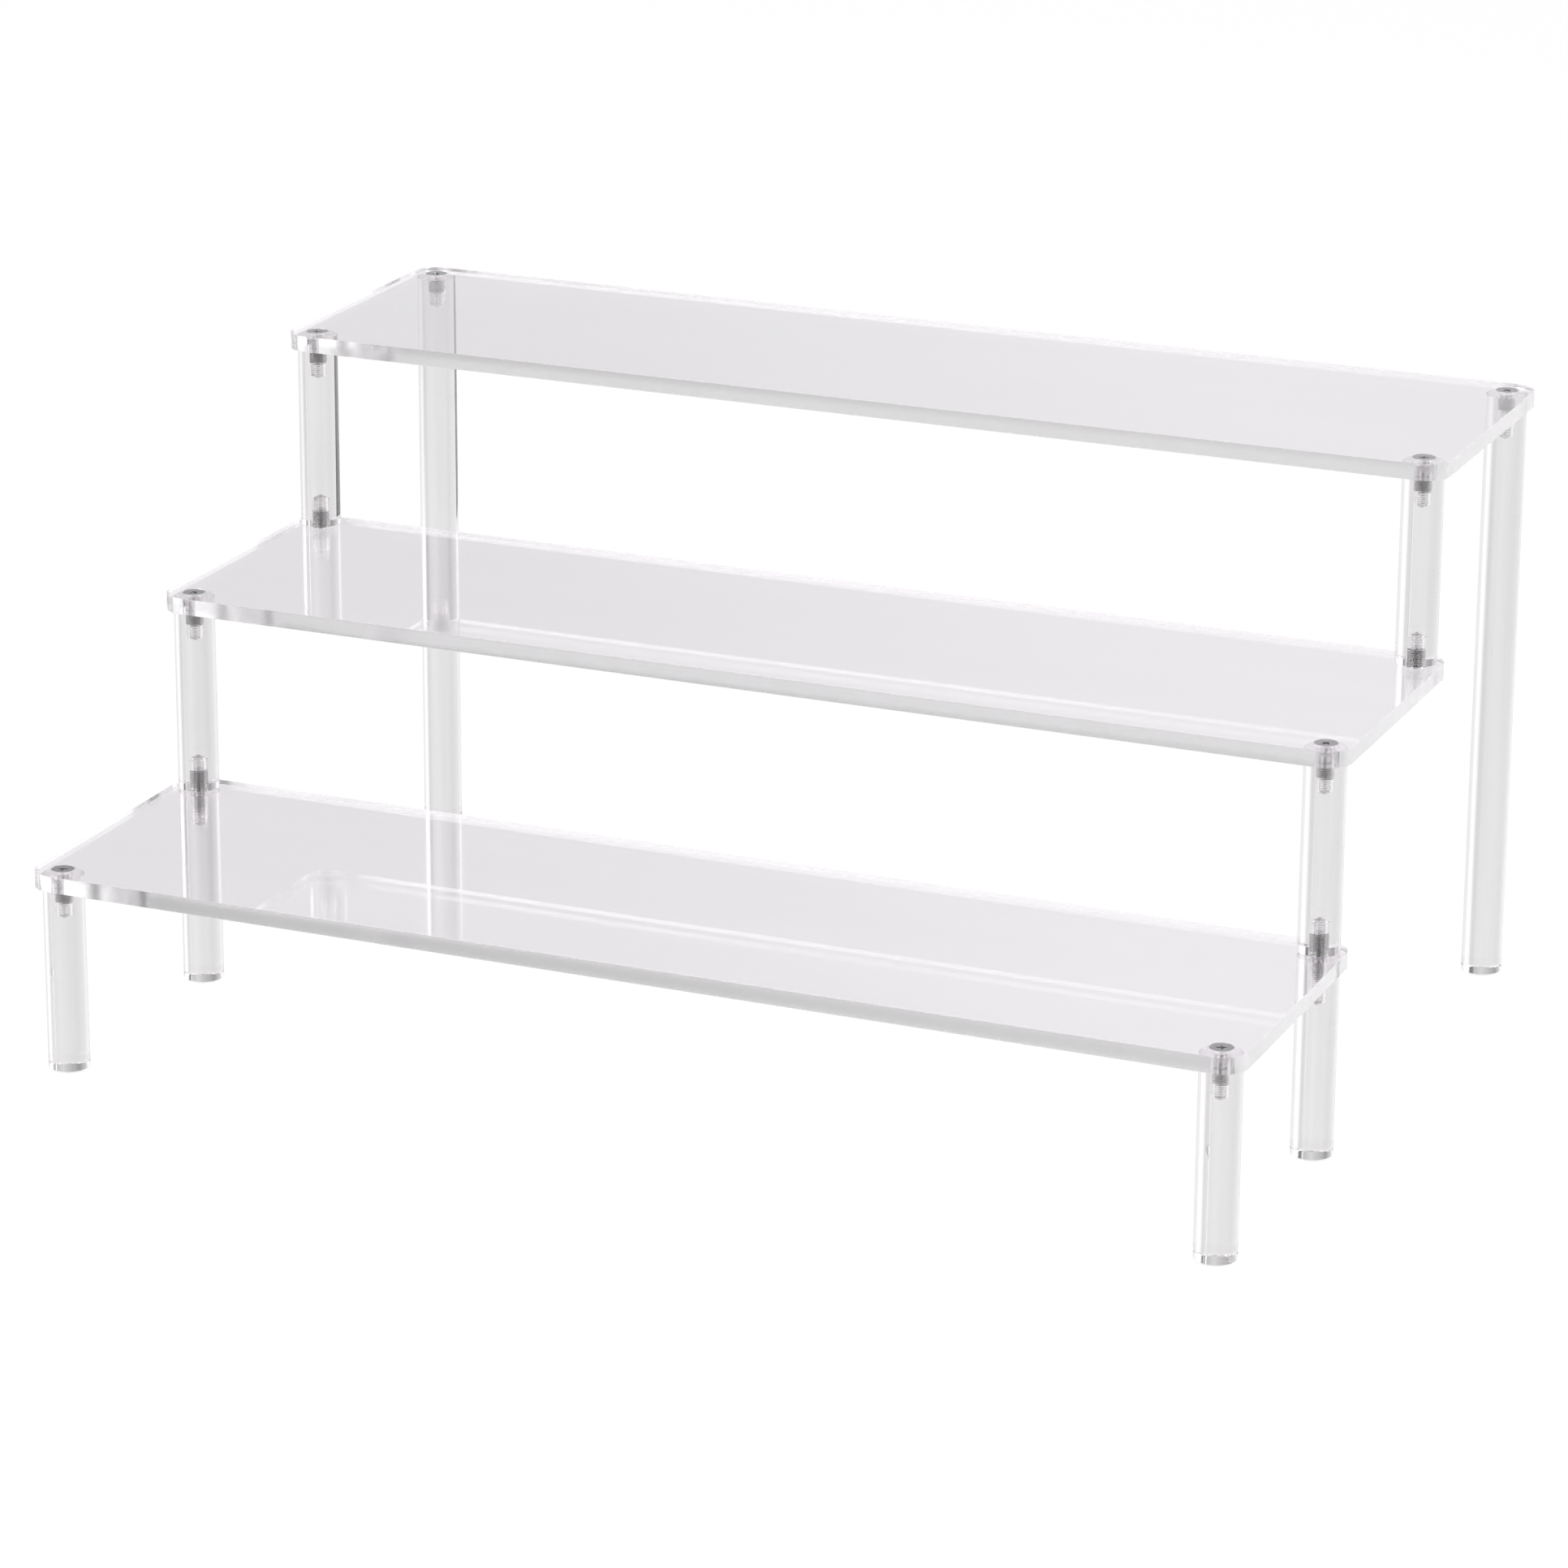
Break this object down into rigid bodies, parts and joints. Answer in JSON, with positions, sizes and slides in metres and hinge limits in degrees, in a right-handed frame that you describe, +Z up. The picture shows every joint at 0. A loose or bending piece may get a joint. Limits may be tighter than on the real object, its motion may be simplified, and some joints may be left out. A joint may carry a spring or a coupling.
{
  "type": "acrylic display riser",
  "caption": "Stepped clear acrylic display riser: flat shelves on round rod legs and posts, joined by countersunk steel screws and studs.",
  "frame": {"origin": "on the table, under the middle of the riser", "axes": "+Z up, +X along the shelves to the viewer's right, -Y towards the front, where the lowest step is"},
  "size_m": [0.303, 0.2154, 0.15],
  "materials": {
    "shelf_acrylic": "clear cast sheet, polished edges",
    "rod_acrylic": "clear extruded rod, polished",
    "steel": "bright zinc-plated screw steel"
  },
  "bodies": {
    "root": {"lower_shelf": "shelf_acrylic", "middle_shelf": "shelf_acrylic", "upper_shelf": "shelf_acrylic", "front_leg_left": "rod_acrylic", "front_leg_right": "rod_acrylic", "middle_leg_left": "rod_acrylic", "middle_leg_right": "rod_acrylic", "rear_leg_left": "rod_acrylic", "rear_leg_right": "rod_acrylic", "lower_post_left": "rod_acrylic", "lower_post_right": "rod_acrylic", "upper_post_left": "rod_acrylic", "upper_post_right": "rod_acrylic", "lower_shelf_screw_left": "steel", "lower_shelf_screw_right": "steel", "middle_shelf_screw_left": "steel", "middle_shelf_screw_right": "steel", "upper_shelf_front_screw_left": "steel", "upper_shelf_front_screw_right": "steel", "upper_shelf_rear_screw_left": "steel", "upper_shelf_rear_screw_right": "steel", "upper_post_screw_left": "steel", "upper_post_screw_right": "steel", "post_stud_left": "steel", "post_stud_right": "steel"}
  },
  "joints": []
}
